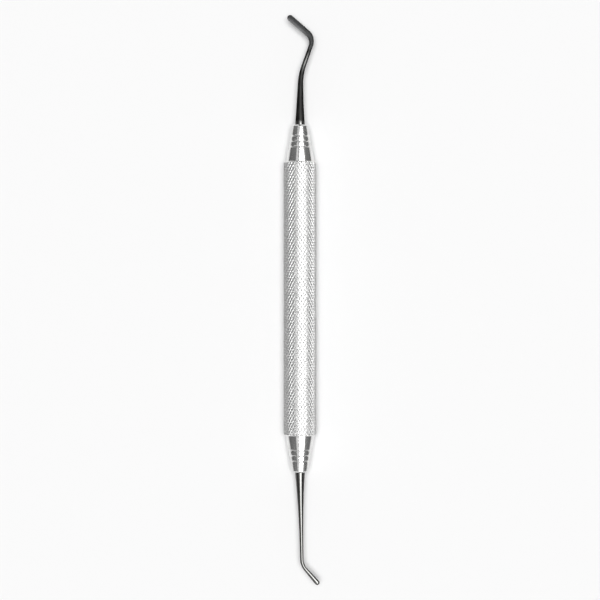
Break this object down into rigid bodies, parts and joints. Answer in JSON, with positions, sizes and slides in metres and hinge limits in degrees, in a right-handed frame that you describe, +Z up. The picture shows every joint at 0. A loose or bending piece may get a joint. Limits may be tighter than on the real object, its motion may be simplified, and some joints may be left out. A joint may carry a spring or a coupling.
{
  "type": "dental hand scaler",
  "caption": "Slim dental hand scaler with a knurled barrel grip, grooved tapered collars that unscrew, and bent steel working ends: grit-coated at one end, polished at the other.",
  "frame": {"origin": "on the barrel's axis, halfway along the barrel; the instrument lies on its barrel, so a tray's surface is 4.75 mm below the origin", "axes": "+Y along the barrel towards the grit-coated working end; +X the side that the polished end's blade points to, so both ends' bends lie in the XY plane; +Z up"},
  "size_m": [0.0104, 0.1666, 0.0094],
  "materials": {
    "barrel": "bright diamond knurl",
    "cone": "satin turned",
    "insert": "turned stainless steel",
    "seal": "matte silicone",
    "dark_steel": "semi-gloss drawn steel",
    "diamond_coat": "matte bonded grit",
    "polished_steel": "mirror polished steel"
  },
  "bodies": {
    "handle": {"barrel": "barrel", "upper_insert": "insert", "lower_insert": "insert"},
    "upper_seal": {"upper_seal_ring": "seal"},
    "upper_end": {"upper_cone": "cone", "upper_tip": "dark_steel", "upper_diamond_coat": "diamond_coat"},
    "lower_seal": {"lower_seal_ring": "seal"},
    "lower_end": {"lower_cone": "cone", "lower_tip": "polished_steel"}
  },
  "joints": [
    {"name": "upper_draw_out", "type": "slide", "parent": "handle", "child": "upper_seal", "axis": [0, 1, 0], "range_m": [0, 0.0052]},
    {"name": "upper_unscrew", "type": "hinge", "parent": "upper_seal", "child": "upper_end", "pos_m": [0, 0.04, 0], "axis": [0, 1, 0], "range_deg": [0, 2340]},
    {"name": "lower_draw_out", "type": "slide", "parent": "handle", "child": "lower_seal", "axis": [0, -1, 0], "range_m": [0, 0.0052]},
    {"name": "lower_unscrew", "type": "hinge", "parent": "lower_seal", "child": "lower_end", "pos_m": [0, -0.04, 0], "axis": [0, -1, 0], "range_deg": [0, 2340]}
  ],
  "couplings": [
    {"joint": "upper_unscrew", "follows": "upper_draw_out", "rad_per_m": 7854},
    {"joint": "lower_unscrew", "follows": "lower_draw_out", "rad_per_m": 7854}
  ]
}
